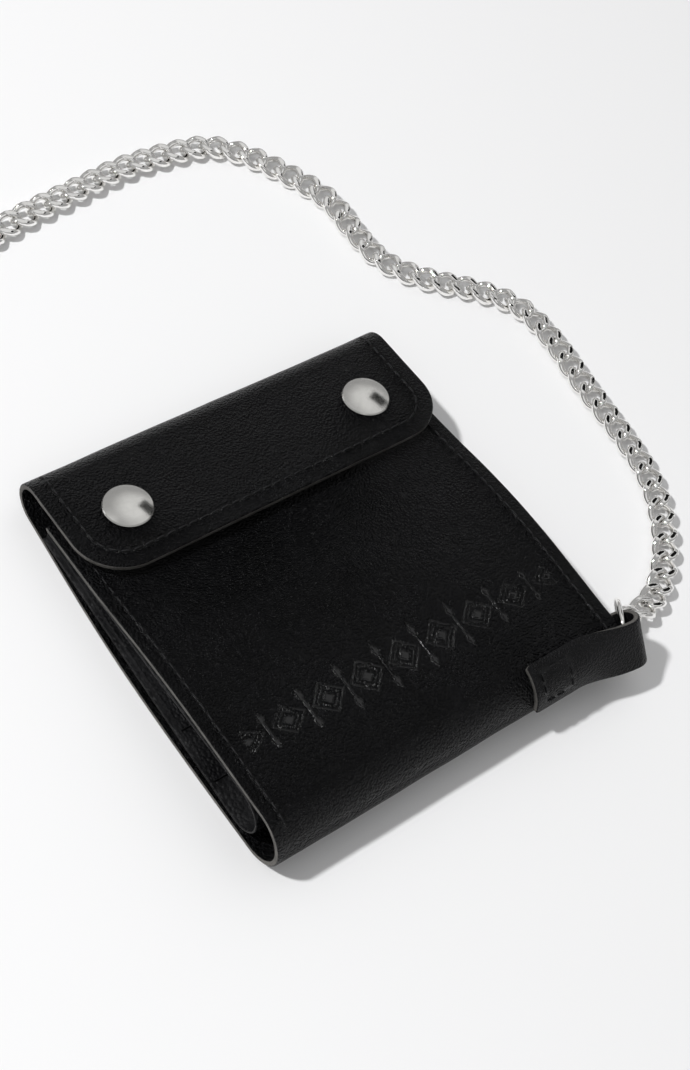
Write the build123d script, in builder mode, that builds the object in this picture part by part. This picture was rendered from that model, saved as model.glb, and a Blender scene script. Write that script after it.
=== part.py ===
"""Snap-flap bifold wallet with a leather chain tab, a curb chain and a swivel clasp.

Frame: X runs along the folds, Y from the near fold to the far fold, Z up.
The origin is the centre of the back panel's underside, on which the closed wallet lies.
"""
import os
from math import atan, cos, degrees, pi, radians, sin, tan

from build123d import *

# ---- driving dimensions, in millimetres and degrees --------------------------------------
width = 105.0            # along the folds
back_length = 95.3       # between the two fold centres
near_height = 18.0       # closed thickness at the near fold
far_height = 12.4        # closed thickness at the far fold
leather = 1.4            # outer shell
lining = 0.6             # inner liner and flap lining
leaf = 0.7               # one card pocket leaf
cover_length = 87.5      # front panel, from where it leaves the near fold
flap_reach = 30.0        # flap, from where it leaves the far fold
flap_corner = 13.0       # radius of the flap's two free corners
snap_spread = 36.1       # half the distance between the two snap fasteners
snap_shift = 1.5         # their middle from the middle of the wallet
snap_reach = 14.3        # each snap fastener from where the flap leaves the far fold
snap_stack = 2.2         # height of a closed snap between cover and flap lining
crease_gap = 0.3         # clear slot between two stretches of leather that turn
hinge_offset = 1.75      # near crease axes outside the shell, clear of the chain tab
far_hinge_offset = 0.7   # far crease axes outside the shell
bill_gap = 0.7           # bill compartment between front shell and liner
tab_width = 12.6
tab_reach = 60.2         # outermost X of the chain tab's loop
tab_sewn_start = 23.0    # X where the sewn end of the tab begins
ring_wire = 1.5
ring_bore = 13.8
chain_diameter = 5.6     # plain tube that stands for the curb chain

# ---- derived geometry --------------------------------------------------------------------
half_width = width / 2
near_radius = near_height / 2
far_radius = far_height / 2
tilt = degrees(atan((near_height + snap_stack + leather + lining - far_height) / back_length))
near_y = -back_length / 2
far_y = back_length / 2
outward = Vector(0, sin(radians(tilt)), cos(radians(tilt)))
along = Vector(0, cos(radians(tilt)), -sin(radians(tilt)))
near_centre = Vector(0, near_y, near_radius)
far_centre = Vector(0, far_y, far_radius)
cover_origin = near_centre + outward * near_radius
flap_origin = far_centre + outward * far_radius


def cover_plane(depth=0.0):
    """Plane of the front panel's outer face, or one that lies depth below it."""
    return Plane(origin=cover_origin - outward * depth, x_dir=(1, 0, 0), z_dir=outward)


def flap_plane(depth=0.0):
    """Plane of the flap's outer face, or one that lies depth below it."""
    return Plane(origin=flap_origin - outward * depth, x_dir=(1, 0, 0), z_dir=outward)


os.makedirs("parts", exist_ok=True)


def write(part, label):
    """Name a finished piece and write it to its own file."""
    part.label = label
    export_step(part, f"parts/{label}.step")


def band(centre, outer, thickness, start, end):
    """Sector of a ring in the Y-Z plane, from start to end degrees: a bent sheet's section."""
    with BuildLine() as outline:
        big = CenterArc((centre.Y, centre.Z), outer, start, end - start)
        small = CenterArc((centre.Y, centre.Z), outer - thickness, start, end - start)
        Line(big @ 0, small @ 0)
        Line(big @ 1, small @ 1)
    make_face(outline.edges())


def crease_slack(radius):
    """Half the crease slot as an angle at that radius."""
    return degrees(crease_gap / 2 / radius)


# ---- crease angles, measured from +Y towards +Z ---------------------------------------------
near_lower_crease = 220.0
near_upper_crease = 120.0
near_top = 90.0 - tilt
far_quarter = (180.0 - tilt) / 4
far_lower_crease = -90.0 + far_quarter
far_upper_crease = near_top - far_quarter
near_slack = crease_slack(near_radius)
far_slack = crease_slack(far_radius)

# ---- outer shell: one hide in the real wallet, in five stretches between its creases -----------
with BuildPart() as outer_shell_back:
    with BuildSketch(Plane.YZ):
        with Locations((0, leather / 2)):
            Rectangle(back_length, leather)
        band(near_centre, near_radius, leather, near_lower_crease + near_slack, 270)
        band(far_centre, far_radius, leather, -90, far_lower_crease - far_slack)
    extrude(amount=half_width, both=True)
write(outer_shell_back.part, "outer_shell_back")

with BuildPart() as outer_shell_spine:
    with BuildSketch(Plane.YZ):
        spine_start = near_upper_crease + near_slack
        spine_end = near_lower_crease - near_slack
        band(near_centre, near_radius, leather, spine_start, spine_end)
    extrude(amount=half_width, both=True)
write(outer_shell_spine.part, "outer_shell_spine")

snap_spots = [(snap_shift - snap_spread, -snap_reach), (snap_shift + snap_spread, -snap_reach)]
snap_on_cover = (flap_origin - along * snap_reach - cover_origin).dot(along)
stud_spots = [(snap_shift - snap_spread, snap_on_cover), (snap_shift + snap_spread, snap_on_cover)]
rivet_radius = 1.4
rivet_hole = rivet_radius + 0.1

with BuildPart() as outer_shell_front:
    with BuildSketch(Plane.YZ):
        band(near_centre, near_radius, leather, near_top, near_upper_crease - near_slack)
    extrude(amount=half_width, both=True)
    with BuildSketch(cover_plane()):
        with Locations((0, cover_length / 2)):
            Rectangle(width, cover_length)
        with Locations(stud_spots):
            Circle(rivet_hole, mode=Mode.SUBTRACT)
    extrude(amount=-leather)
write(outer_shell_front.part, "outer_shell_front")

with BuildPart() as outer_shell_far_fold:
    with BuildSketch(Plane.YZ):
        fold_start = far_lower_crease + far_slack
        fold_end = far_upper_crease - far_slack
        band(far_centre, far_radius, leather, fold_start, fold_end)
    extrude(amount=half_width, both=True)
write(outer_shell_far_fold.part, "outer_shell_far_fold")


def flap_outline(inset=0.0, back_edge=0.0, mode=Mode.ADD):
    """Flap outline in the flap plane, drawn in by inset, with its two free corners rounded."""
    half = half_width - inset
    front = -flap_reach + inset
    corner = flap_corner - inset
    with BuildLine() as outline:
        Polyline((-half, front + corner), (-half, back_edge), (half, back_edge), (half, front + corner))
        JernArc((half, front + corner), (0, -1), corner, -90)
        Line((half - corner, front), (-half + corner, front))
        JernArc((-half + corner, front), (-1, 0), corner, -90)
    make_face(outline.edges(), mode=mode)


with BuildPart() as outer_shell_flap:
    with BuildSketch(Plane.YZ):
        band(far_centre, far_radius, leather, far_upper_crease + far_slack, near_top)
    extrude(amount=half_width, both=True)
    with BuildSketch(flap_plane()):
        flap_outline()
        with Locations(snap_spots):
            Circle(rivet_hole, mode=Mode.SUBTRACT)
    extrude(amount=-leather)
write(outer_shell_flap.part, "outer_shell_flap")

# ---- flap lining and the flap's seam -----------------------------------------------------------
with BuildPart() as flap_lining:
    with BuildSketch(flap_plane(leather)):
        flap_outline(inset=0.2, back_edge=-1.5)
        with Locations(snap_spots):
            Circle(rivet_hole, mode=Mode.SUBTRACT)
    extrude(amount=-lining)
write(flap_lining.part, "flap_lining")

thread_width = 0.5
thread_height = 0.25
flap_seam_inset = 4.4

with BuildPart() as flap_seam:
    with BuildSketch(flap_plane()):
        flap_outline(inset=flap_seam_inset, back_edge=-0.5)
        flap_outline(inset=flap_seam_inset + thread_width, back_edge=0.5, mode=Mode.SUBTRACT)
    extrude(amount=thread_height)
write(flap_seam.part, "flap_seam_thread")

# ---- bill compartment liner: back, turn and front ------------------------------------------------
liner_lift = 0.2                    # liner above the back shell
liner_turn_y = near_y + 6.7         # centre of the liner's own, tighter turn
liner_low = leather + liner_lift
liner_front_depth = leather + bill_gap
liner_start = (liner_turn_y - cover_origin.Y) / cos(radians(tilt))
liner_top = cover_origin.Z - liner_front_depth / cos(radians(tilt)) - (
    liner_turn_y - cover_origin.Y) * tan(radians(tilt))
liner_turn_radius = (liner_top - liner_low) / 2
liner_turn = Vector(0, liner_turn_y, liner_low + liner_turn_radius)
liner_margin = 1.0                  # liner ends this far short of the shell's edges
inner_width = width - 2 * 0.3
liner_end_y = far_y - 6.5           # liner stops short of the far fold
liner_turn_low = 95                 # the turn's arc, in degrees
liner_turn_high = 265

with BuildPart() as liner_back:
    with BuildSketch(Plane.XY.offset(liner_low)):
        run_start = liner_turn_y + liner_margin
        with Locations((0, (run_start + liner_end_y) / 2)):
            Rectangle(inner_width, liner_end_y - run_start)
    extrude(amount=lining)
write(liner_back.part, "liner_back")

with BuildPart() as liner_spine:
    with BuildSketch(Plane.YZ):
        band(liner_turn, liner_turn_radius, lining, liner_turn_low, liner_turn_high)
    extrude(amount=inner_width / 2, both=True)
write(liner_spine.part, "liner_spine")

with BuildPart() as liner_front:
    with BuildSketch(cover_plane(liner_front_depth)):
        run_start = liner_start + liner_margin
        with Locations((0, (run_start + cover_length - liner_margin) / 2)):
            Rectangle(inner_width, cover_length - liner_margin - run_start)
    extrude(amount=-lining)
write(liner_front.part, "liner_front")

# ---- card pockets: leaves stepped back from the fold, each with a thumb notch ------------------
thumb_notch = 9.0
leaf_margin = 1.0                   # leaf ends this far inside the liner's sides


def pocket_leaf(run_start, run_end, label, base, height):
    """One pocket leaf on a plane, its free edge at run_start with a round thumb notch."""
    with BuildPart() as pocket:
        with BuildSketch(base):
            with Locations((0, (run_start + run_end) / 2)):
                Rectangle(inner_width - 2 * leaf_margin, run_end - run_start)
            with Locations((0, run_start)):
                Circle(thumb_notch, mode=Mode.SUBTRACT)
        extrude(amount=height)
    write(pocket.part, label)


pocket_step = 14.0
back_pocket_start = near_y + 16.0
back_pocket_base = liner_low + lining
for index, name in enumerate(["rear", "front"]):
    pocket_leaf(back_pocket_start + index * pocket_step, liner_end_y,
                f"card_pocket_back_{name}", Plane.XY.offset(back_pocket_base + index * leaf), leaf)

front_pocket_start = liner_start + 11.0
front_pocket_depth = liner_front_depth + lining
for index, name in enumerate(["rear", "front"]):
    pocket_leaf(front_pocket_start + index * pocket_step, cover_length - 2.0,
                f"card_pocket_front_{name}", cover_plane(front_pocket_depth + index * leaf), -leaf)

# ---- side seams of the front panel ----------------------------------------------------------------
side_seam_inset = 3.4
side_seam_margin = 3.0              # seam stops this far from both ends of the panel

with BuildPart() as side_seams:
    with BuildSketch(cover_plane()):
        with Locations((-half_width + side_seam_inset, cover_length / 2),
                       (half_width - side_seam_inset, cover_length / 2)):
            Rectangle(thread_width, cover_length - 2 * side_seam_margin)
    extrude(amount=thread_height)
write(side_seams.part, "front_side_seam_threads")

# ---- snap fasteners: cap and socket on the flap, stud and post on the cover -----------------------
cap_radius = 6.25
cap_dome = 1.9
cap_rim = 0.7
socket_radius = 5.2
socket_cup = 3.3
socket_bore = 2.5
socket_flange = 0.4
stud_radius = 5.0
stud_flange = 0.35
stud_base = 1.9
stud_tip = 1.3
stud_height = 1.25
post_radius = 4.6
post_head = 0.5


def placed(piece, base, spots, label):
    """Write copies of a fastener piece, which is turned about Z, standing at spots on a plane."""
    with BuildPart() as group:
        for spot in spots:
            origin = base.from_local_coords(Vector(spot[0], spot[1], 0))
            with Locations(Plane(origin=origin, x_dir=(1, 0, 0), z_dir=outward).location):
                add(piece.part)
    write(group.part, label)


with BuildPart() as cap:
    with BuildSketch(Plane.XZ):
        with BuildLine():
            barrel_end = -(leather + lining + socket_flange)
            rim = Polyline((0, cap_dome), (0, barrel_end), (rivet_radius, barrel_end), (rivet_radius, 0),
                           (cap_radius - 0.3, 0), (cap_radius, cap_rim / 2), (cap_radius - 0.25, cap_rim))
            TangentArc(rim @ 0, rim @ 1, tangent=(1, 0))
        make_face()
    revolve(axis=Axis.Z)
placed(cap, flap_plane(), snap_spots, "snap_caps")

with BuildPart() as socket:
    with BuildSketch(Plane.XZ):
        cup_depth = snap_stack - stud_flange - 0.2
        with BuildLine():
            Polyline((rivet_hole, 0), (socket_radius, 0), (socket_radius, -socket_flange),
                     (socket_cup, -socket_flange), (socket_cup, -cup_depth), (socket_bore, -cup_depth),
                     (socket_bore, -socket_flange), (rivet_hole, -socket_flange), (rivet_hole, 0))
        make_face()
    revolve(axis=Axis.Z)
placed(socket, flap_plane(leather + lining), snap_spots, "snap_sockets")

with BuildPart() as stud:
    with BuildSketch(Plane.XZ):
        with BuildLine():
            Polyline((rivet_hole, 0), (stud_radius, 0), (stud_radius, stud_flange),
                     (stud_base, stud_flange), (stud_tip, stud_height), (0, stud_height),
                     (0, stud_height - 0.3), (rivet_hole, stud_height - 0.7), (rivet_hole, 0))
        make_face()
    revolve(axis=Axis.Z)
placed(stud, cover_plane(), stud_spots, "snap_studs")

with BuildPart() as post:
    with BuildSketch(Plane.XZ):
        barrel_top = leather + stud_flange
        with BuildLine():
            Polyline((0, -post_head), (post_radius, -post_head), (post_radius, 0),
                     (rivet_radius, 0), (rivet_radius, barrel_top), (0, barrel_top), (0, -post_head))
        make_face()
    revolve(axis=Axis.Z)
placed(post, cover_plane(leather), stud_spots, "snap_posts")

# ---- chain tab: a strap sewn round the near fold, looped past the right edge -----------------------
tab_angle = 137.0                   # its middle on the near fold
tab_low_angle = 176.0               # lower edge of its sewn end
tab_normal = Vector(0, cos(radians(tab_angle)), sin(radians(tab_angle)))
tab_across = Vector(0, sin(radians(tab_angle)), -cos(radians(tab_angle)))
tab_skin = 0.05                     # strap stands this far off the shell
outer_leg = near_radius + tab_skin
loop_bulge = 0.2                    # outer leg stands this much further out in the loop
loop_outer = outer_leg + loop_bulge
inner_leg = 1.8                     # inner leg's near face from the fold's centre, in the loop
sewn_band_end = 52.6                # just past the shell's edge
loop_start = 54.0
loop_drop = 2.8                     # the loop hangs this much lower than the sewn end


def section_at(x):
    """Y-Z plane at x, seen from +X, with the near fold's centre as its origin."""
    return Plane(origin=(x, near_centre.Y, near_centre.Z), x_dir=(0, 1, 0), z_dir=(1, 0, 0))


def strap_band(x, outer):
    """Section of the strap where it hugs the fold, at that outer radius."""
    start = near_upper_crease + near_slack
    with BuildSketch(section_at(x)) as face:
        with BuildLine():
            big = CenterArc((0, 0), outer, start, tab_low_angle - start)
            small = CenterArc((0, 0), outer - leather, start, tab_low_angle - start)
            Line(big @ 0, small @ 0)
            Line(big @ 1, small @ 1)
        make_face()
    return face.sketch.face()


def strap_flat(x, face_distance, drop):
    """Section of the strap where it is flat, its near face that far from the fold's centre."""
    origin = section_at(x).origin + tab_normal * (face_distance + leather / 2) - tab_across * drop
    with BuildSketch(Plane(origin=origin, x_dir=tab_across, z_dir=(1, 0, 0))) as face:
        Rectangle(tab_width, leather)
    return face.sketch.face()


loop_gap = loop_outer - (inner_leg + leather)
bend_radius = loop_gap / 2
bend_x = tab_reach - bend_radius - leather
bend_centre = inner_leg + leather + bend_radius

inner_band_outer = near_radius - leather - tab_skin
inner_band_end = tab_sewn_start + 15

with BuildPart() as chain_tab:
    extrude(strap_band(tab_sewn_start, outer_leg + leather), amount=sewn_band_end - tab_sewn_start)
    loft([strap_band(sewn_band_end, outer_leg + leather), strap_flat(loop_start, loop_outer, loop_drop)])
    extrude(strap_band(tab_sewn_start + 1, inner_band_outer), amount=inner_band_end - tab_sewn_start - 1)
    loft([strap_band(inner_band_end, inner_band_outer), strap_flat(sewn_band_end, inner_leg, 0)])
    loft([strap_flat(sewn_band_end, inner_leg, 0), strap_flat(loop_start, inner_leg, loop_drop)])
    loop_origin = near_centre - tab_across * loop_drop
    with BuildSketch(Plane(origin=loop_origin, x_dir=(1, 0, 0), z_dir=-tab_across)):
        with BuildLine():
            outside = Polyline((loop_start, loop_outer + leather), (bend_x, loop_outer + leather))
            ThreePointArc(outside @ 1, (tab_reach, bend_centre), (bend_x, inner_leg))
            inside = Polyline((bend_x, inner_leg), (loop_start, inner_leg), (loop_start, inner_leg + leather),
                              (bend_x, inner_leg + leather))
            ThreePointArc(inside @ 1, (bend_x + bend_radius, bend_centre), (bend_x, loop_outer))
            Polyline((bend_x, loop_outer), (loop_start, loop_outer), outside @ 0)
        make_face()
    extrude(amount=tab_width / 2, both=True)
write(chain_tab.part, "chain_tab")

tab_seam_start = 26.0
tab_seam_end = 34.0
tab_seam_low = 165.0
tab_seam_high = 126.0
seam_turn = degrees(thread_width / outer_leg)


def seam_band(inset, low, high):
    """Arc-shaped section of the tab's seam, drawn in at both ends by an angle."""
    skin = outer_leg + leather + thread_height
    with BuildSketch(section_at(tab_seam_start)) as face:
        with BuildLine():
            big = CenterArc((0, 0), skin, high + inset, low - high - 2 * inset)
            small = CenterArc((0, 0), skin - thread_height, high + inset, low - high - 2 * inset)
            Line(big @ 0, small @ 0)
            Line(big @ 1, small @ 1)
        make_face()
    return face.sketch.face()


with BuildPart() as tab_seam:
    extrude(seam_band(0, tab_seam_low, tab_seam_high), amount=tab_seam_end - tab_seam_start)
    inside_face = seam_band(seam_turn, tab_seam_low, tab_seam_high)
    extrude(inside_face.moved(Location((thread_width, 0, 0))),
            amount=tab_seam_end - tab_seam_start - 2 * thread_width, mode=Mode.SUBTRACT)
write(tab_seam.part, "tab_box_seam_thread")

# ---- jump ring round the bend of the tab's loop -------------------------------------------------------------
ring_lean = 38.0                    # how far round the loop's bend the ring has been pulled
ring_radius = (ring_bore + ring_wire) / 2
strap_middle = bend_radius + leather / 2
ring_side = Vector(1, 0, 0) * -sin(radians(ring_lean)) + tab_normal * cos(radians(ring_lean))
ring_strap = loop_origin + Vector(bend_x, 0, 0) + tab_normal * bend_centre - ring_side * strap_middle
ring_offset = 1.9                   # ring's centre outside the strap's middle
ring_centre = ring_strap - ring_side * ring_offset
ring_facing = ring_side.cross(tab_across)

with BuildPart() as jump_ring:
    with BuildSketch(Plane(origin=ring_centre + ring_side * ring_radius, x_dir=ring_side,
                           z_dir=tab_across)):
        Circle(ring_wire / 2)
    revolve(axis=Axis(ring_centre, ring_facing))
write(jump_ring.part, "jump_ring")

# ---- chain: plain tube, from beside the ring to the clasp, lying on the table -------------------------
chain_height = chain_diameter / 2 + 0.02
chain_route = [
    (70.6, -48.0), (79.8, -45.2), (88.6, -39.2), (96.4, -29.4), (102.4, -17.2), (104.4, -1.5),
    (105.0, 15.5), (107.2, 32.0), (106.0, 45.5), (97.6, 55.4), (86.2, 64.2), (77.6, 74.8),
    (76.6, 88.5), (77.6, 100.6), (71.8, 112.4), (65.2, 123.4), (56.4, 131.6), (43.2, 133.4),
    (28.0, 134.2), (12.0, 132.0), (-6.0, 129.8), (-22.5, 126.2), (-38.5, 118.6), (-55.0, 114.4),
    (-70.5, 119.6), (-78.5, 132.5), (-75.5, 147.5), (-63.5, 156.5), (-48.5, 156.5),
]
points = [Vector(x, y, chain_height) for x, y in chain_route]
runs = [b - a for a, b in zip(points, points[1:])]
radii = []
for before, after in zip(runs, runs[1:]):
    half_turn = radians(before.get_angle(after)) / 2
    radii.append(0.45 * min(before.length, after.length) / tan(half_turn))

with BuildPart() as chain:
    with BuildLine() as chain_line:
        FilletPolyline(*points, radius=radii)
    with BuildSketch(Plane(origin=points[0], z_dir=runs[0])):
        Circle(chain_diameter / 2)
    sweep()
write(chain.part, "chain")

# ---- swivel clasp at the chain's free end, lying flat and pointing along +X --------------------------
eye_radius = 3.4                    # middle of the eye's wire
eye_wire = 1.8
eye_length = 2 * eye_radius + eye_wire / 2   # from the chain's end to the middle of its far wire
stem_radius = 1.1
stem_head = 1.7
stem_head_height = 0.9
stem_end = 14.3                     # all lengths on the clasp are measured from the chain's end
stem_clearance = 0.05
barrel_radius = 2.75
barrel_start = 9.0
barrel_end = 16.5
neck_x = 18.6                       # round end of the claw next to the barrel
neck_radius = 4.4
nose_x = 29.6                       # round end of the claw at its nose
nose_radius = 5.9
claw_thickness = 4.4
claw_edge = 0.9
throat_neck = (22.6, -0.4)          # round end of the throat next to the barrel
throat_neck_radius = 2.3
throat_nose = (29.4, -0.2)          # round end of the throat at the nose
throat_nose_radius = 3.2
throat_mouth = (26.0, 4.0)          # middle of the opening that the gate closes
throat_mouth_size = (8.0, 6.0)
slot_height = 2.7                   # slot in the claw that the gate turns in
hub_slot = (20.0, 3.8)
hub_slot_size = (9.0, 7.6)
tip_slot = (30.6, 3.0)              # seat for the gate's tip in the nose
tip_slot_size = (2.8, 4.8)
pin_radius = 0.6
pivot_x = 19.3
pivot_y = 2.3
gate_hub = 1.9
gate_thickness = 1.65
gate_tip = 31.6
gate_lug = 3.5                      # thumb lug above the pivot
gate_low = -slot_height / 2 + 0.1
spring_radius = 1.5
spring_height = 0.8
clasp_start = points[-1]
clasp_plane = Plane(origin=clasp_start, x_dir=(1, 0, 0), z_dir=(0, 0, 1))


def clasp_section(x):
    """Plane across the clasp, x from the chain's end and facing its nose."""
    return Plane(origin=clasp_start + Vector(x, 0, 0), z_dir=(1, 0, 0))


with BuildPart() as swivel_eye:
    with BuildSketch(Plane(origin=clasp_start + Vector(eye_wire / 2, 0, 0), z_dir=(0, 1, 0))):
        Circle(eye_wire / 2)
    revolve(axis=Axis(clasp_start + Vector(eye_wire / 2 + eye_radius, 0, 0), (0, 0, 1)))
    with BuildSketch(clasp_section(eye_length)):
        Circle(stem_radius)
    extrude(amount=stem_end - eye_length)
    with BuildSketch(clasp_section(stem_end - stem_head_height)):
        Circle(stem_head)
    extrude(amount=stem_head_height)
write(swivel_eye.part, "swivel_eye")

with BuildPart() as clasp_hook:
    with BuildSketch(clasp_section(barrel_start)):
        Circle(barrel_radius)
    extrude(amount=barrel_end - barrel_start)
    chamfer(clasp_hook.edges().filter_by(GeomType.CIRCLE).sort_by(Axis.X)[0], 0.5)
    with BuildSketch(clasp_plane.offset(-claw_thickness / 2)):
        with BuildSketch(mode=Mode.PRIVATE) as claw_ends:
            with Locations((neck_x, 0)):
                Circle(neck_radius)
            with Locations((nose_x, 0)):
                Circle(nose_radius)
        make_hull(claw_ends.edges())
    extrude(amount=claw_thickness)
    rims = clasp_hook.edges().filter_by(GeomType.CIRCLE).filter_by(lambda rim: rim.radius > neck_radius - 0.1)
    fillet(rims, claw_edge)
    with BuildSketch(clasp_plane.offset(-claw_thickness)):
        with BuildSketch(mode=Mode.PRIVATE) as throat_ends:
            with Locations(throat_neck):
                Circle(throat_neck_radius)
            with Locations(throat_nose):
                Circle(throat_nose_radius)
        make_hull(throat_ends.edges())
        with Locations(throat_mouth):
            Rectangle(*throat_mouth_size)
    extrude(amount=2 * claw_thickness, mode=Mode.SUBTRACT)
    with BuildSketch(clasp_plane.offset(-slot_height / 2)):
        with Locations(hub_slot):
            Rectangle(*hub_slot_size)
        with Locations(tip_slot):
            Rectangle(*tip_slot_size)
    extrude(amount=slot_height, mode=Mode.SUBTRACT)
    with BuildSketch(clasp_section(barrel_start)):
        Circle(stem_radius + stem_clearance)
    extrude(amount=stem_end - barrel_start, mode=Mode.SUBTRACT)
    with BuildSketch(clasp_section(stem_end - stem_head_height - stem_clearance)):
        Circle(stem_head + stem_clearance)
    extrude(amount=stem_head_height + 2 * stem_clearance, mode=Mode.SUBTRACT)
    with BuildSketch(clasp_plane.offset(-claw_thickness)):
        with Locations((pivot_x, pivot_y)):
            Circle(pin_radius)
    extrude(amount=2 * claw_thickness, mode=Mode.SUBTRACT)
write(clasp_hook.part, "clasp_hook")

with BuildPart() as clasp_gate:
    with BuildSketch(clasp_plane.offset(gate_low)):
        with Locations((pivot_x, pivot_y)):
            Circle(gate_hub)
        with BuildLine():
            Polyline((pivot_x - 0.6, pivot_y + 1.8), (pivot_x + 0.6, pivot_y + gate_lug),
                     (pivot_x + 2.2, pivot_y + gate_lug), (pivot_x + 3.0, pivot_y + 2.1),
                     (gate_tip, pivot_y + 2.3), (gate_tip, pivot_y + 1.2), (pivot_x + 2.0, pivot_y + 0.2),
                     (pivot_x, pivot_y - 1.0), (pivot_x - 0.6, pivot_y + 1.8))
        make_face()
        with Locations((pivot_x, pivot_y)):
            Circle(pin_radius + 0.04, mode=Mode.SUBTRACT)
    extrude(amount=gate_thickness)
write(clasp_gate.part, "clasp_gate")

with BuildPart() as clasp_spring:
    with BuildSketch(clasp_plane.offset(gate_low + gate_thickness + 0.05)):
        with Locations((pivot_x, pivot_y)):
            Circle(spring_radius)
            Circle(pin_radius, mode=Mode.SUBTRACT)
    extrude(amount=spring_height)
write(clasp_spring.part, "clasp_spring")

with BuildPart() as clasp_pin:
    with BuildSketch(clasp_plane.offset(-claw_thickness / 2)):
        with Locations((pivot_x, pivot_y)):
            Circle(pin_radius)
    extrude(amount=claw_thickness)
write(clasp_pin.part, "clasp_pin")

# ---- printed for a reader: the cord's figures and the joint axes ---------------------------------------
near_hinge_radius = near_radius + hinge_offset
far_hinge_radius = far_radius + far_hinge_offset


def crease_axis(centre, radius, angle):
    """Point on a crease's hinge axis, in the middle of the wallet."""
    return centre + Vector(0, radius * cos(radians(angle)), radius * sin(radians(angle)))


tube_area = pi * chain_diameter ** 2 / 4
chain_length = chain_line.wires()[0].length
print("chain length", round(chain_length, 1),
      "volume ratio", round(chain.part.volume / (tube_area * chain_length), 4))
print("chain runs", [round(run.length, 1) for run in runs])
print("chain radii", [round(radius, 1) for radius in radii])
print("tilt", round(tilt, 3))
print("near lower crease axis", crease_axis(near_centre, near_hinge_radius, near_lower_crease))
print("near upper crease axis", crease_axis(near_centre, near_hinge_radius, near_upper_crease))
print("far lower crease axis", crease_axis(far_centre, far_hinge_radius, far_lower_crease))
print("far upper crease axis", crease_axis(far_centre, far_hinge_radius, far_upper_crease))
print("ring swing axis", ring_strap, tab_across, "ring outer point", ring_centre - ring_side * ring_radius)
print("clasp gate pivot", clasp_start + Vector(pivot_x, pivot_y, 0), "clasp swivel", clasp_start)
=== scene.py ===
"""Looks of the snap-flap wallet with its chain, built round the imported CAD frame.

The frame is in metres with Z up; sizes on the wallet are given in millimetres.
"""
from math import atan, ceil, cos, exp, pi, radians, sin, sqrt, tau

import bpy
import numpy as np
from mathutils import Matrix, Vector, noise


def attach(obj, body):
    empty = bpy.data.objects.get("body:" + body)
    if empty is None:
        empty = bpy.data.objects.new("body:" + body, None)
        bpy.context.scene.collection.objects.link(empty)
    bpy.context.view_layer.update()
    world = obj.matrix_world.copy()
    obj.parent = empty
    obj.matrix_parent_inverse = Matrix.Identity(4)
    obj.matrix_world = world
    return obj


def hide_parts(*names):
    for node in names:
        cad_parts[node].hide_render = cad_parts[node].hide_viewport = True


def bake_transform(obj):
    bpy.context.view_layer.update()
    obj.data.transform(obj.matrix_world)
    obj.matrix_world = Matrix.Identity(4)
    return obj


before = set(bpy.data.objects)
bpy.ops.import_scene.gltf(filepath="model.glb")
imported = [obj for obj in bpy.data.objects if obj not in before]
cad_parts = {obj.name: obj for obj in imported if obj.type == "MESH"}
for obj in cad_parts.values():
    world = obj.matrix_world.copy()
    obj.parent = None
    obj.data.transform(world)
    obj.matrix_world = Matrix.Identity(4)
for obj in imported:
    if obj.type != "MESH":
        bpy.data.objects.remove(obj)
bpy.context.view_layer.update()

MM = 0.001

# ---- driving sizes, as in the CAD source, in millimetres ---------------------
WIDTH = 105.0
BACK_LENGTH = 95.3
NEAR_RADIUS = 9.0
FAR_RADIUS = 6.2
LEATHER = 1.4
LINING = 0.6
SNAP_STACK = 2.2
COVER_LENGTH = 87.5
FLAP_REACH = 30.0
FLAP_CORNER = 13.0
HALF = WIDTH / 2
NEAR = (-BACK_LENGTH / 2, NEAR_RADIUS)
FAR = (BACK_LENGTH / 2, FAR_RADIUS)
TILT = atan((2 * (NEAR_RADIUS - FAR_RADIUS) + SNAP_STACK + LEATHER + LINING) / BACK_LENGTH)
OUT = np.array([sin(TILT), cos(TILT)])          # Y and Z of the cover's outward direction
ALONG = np.array([cos(TILT), -sin(TILT)])       # from the near fold towards the far fold
COVER_START = np.array(NEAR) + OUT * NEAR_RADIUS
FLAP_START = np.array(FAR) + OUT * FAR_RADIUS


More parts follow.
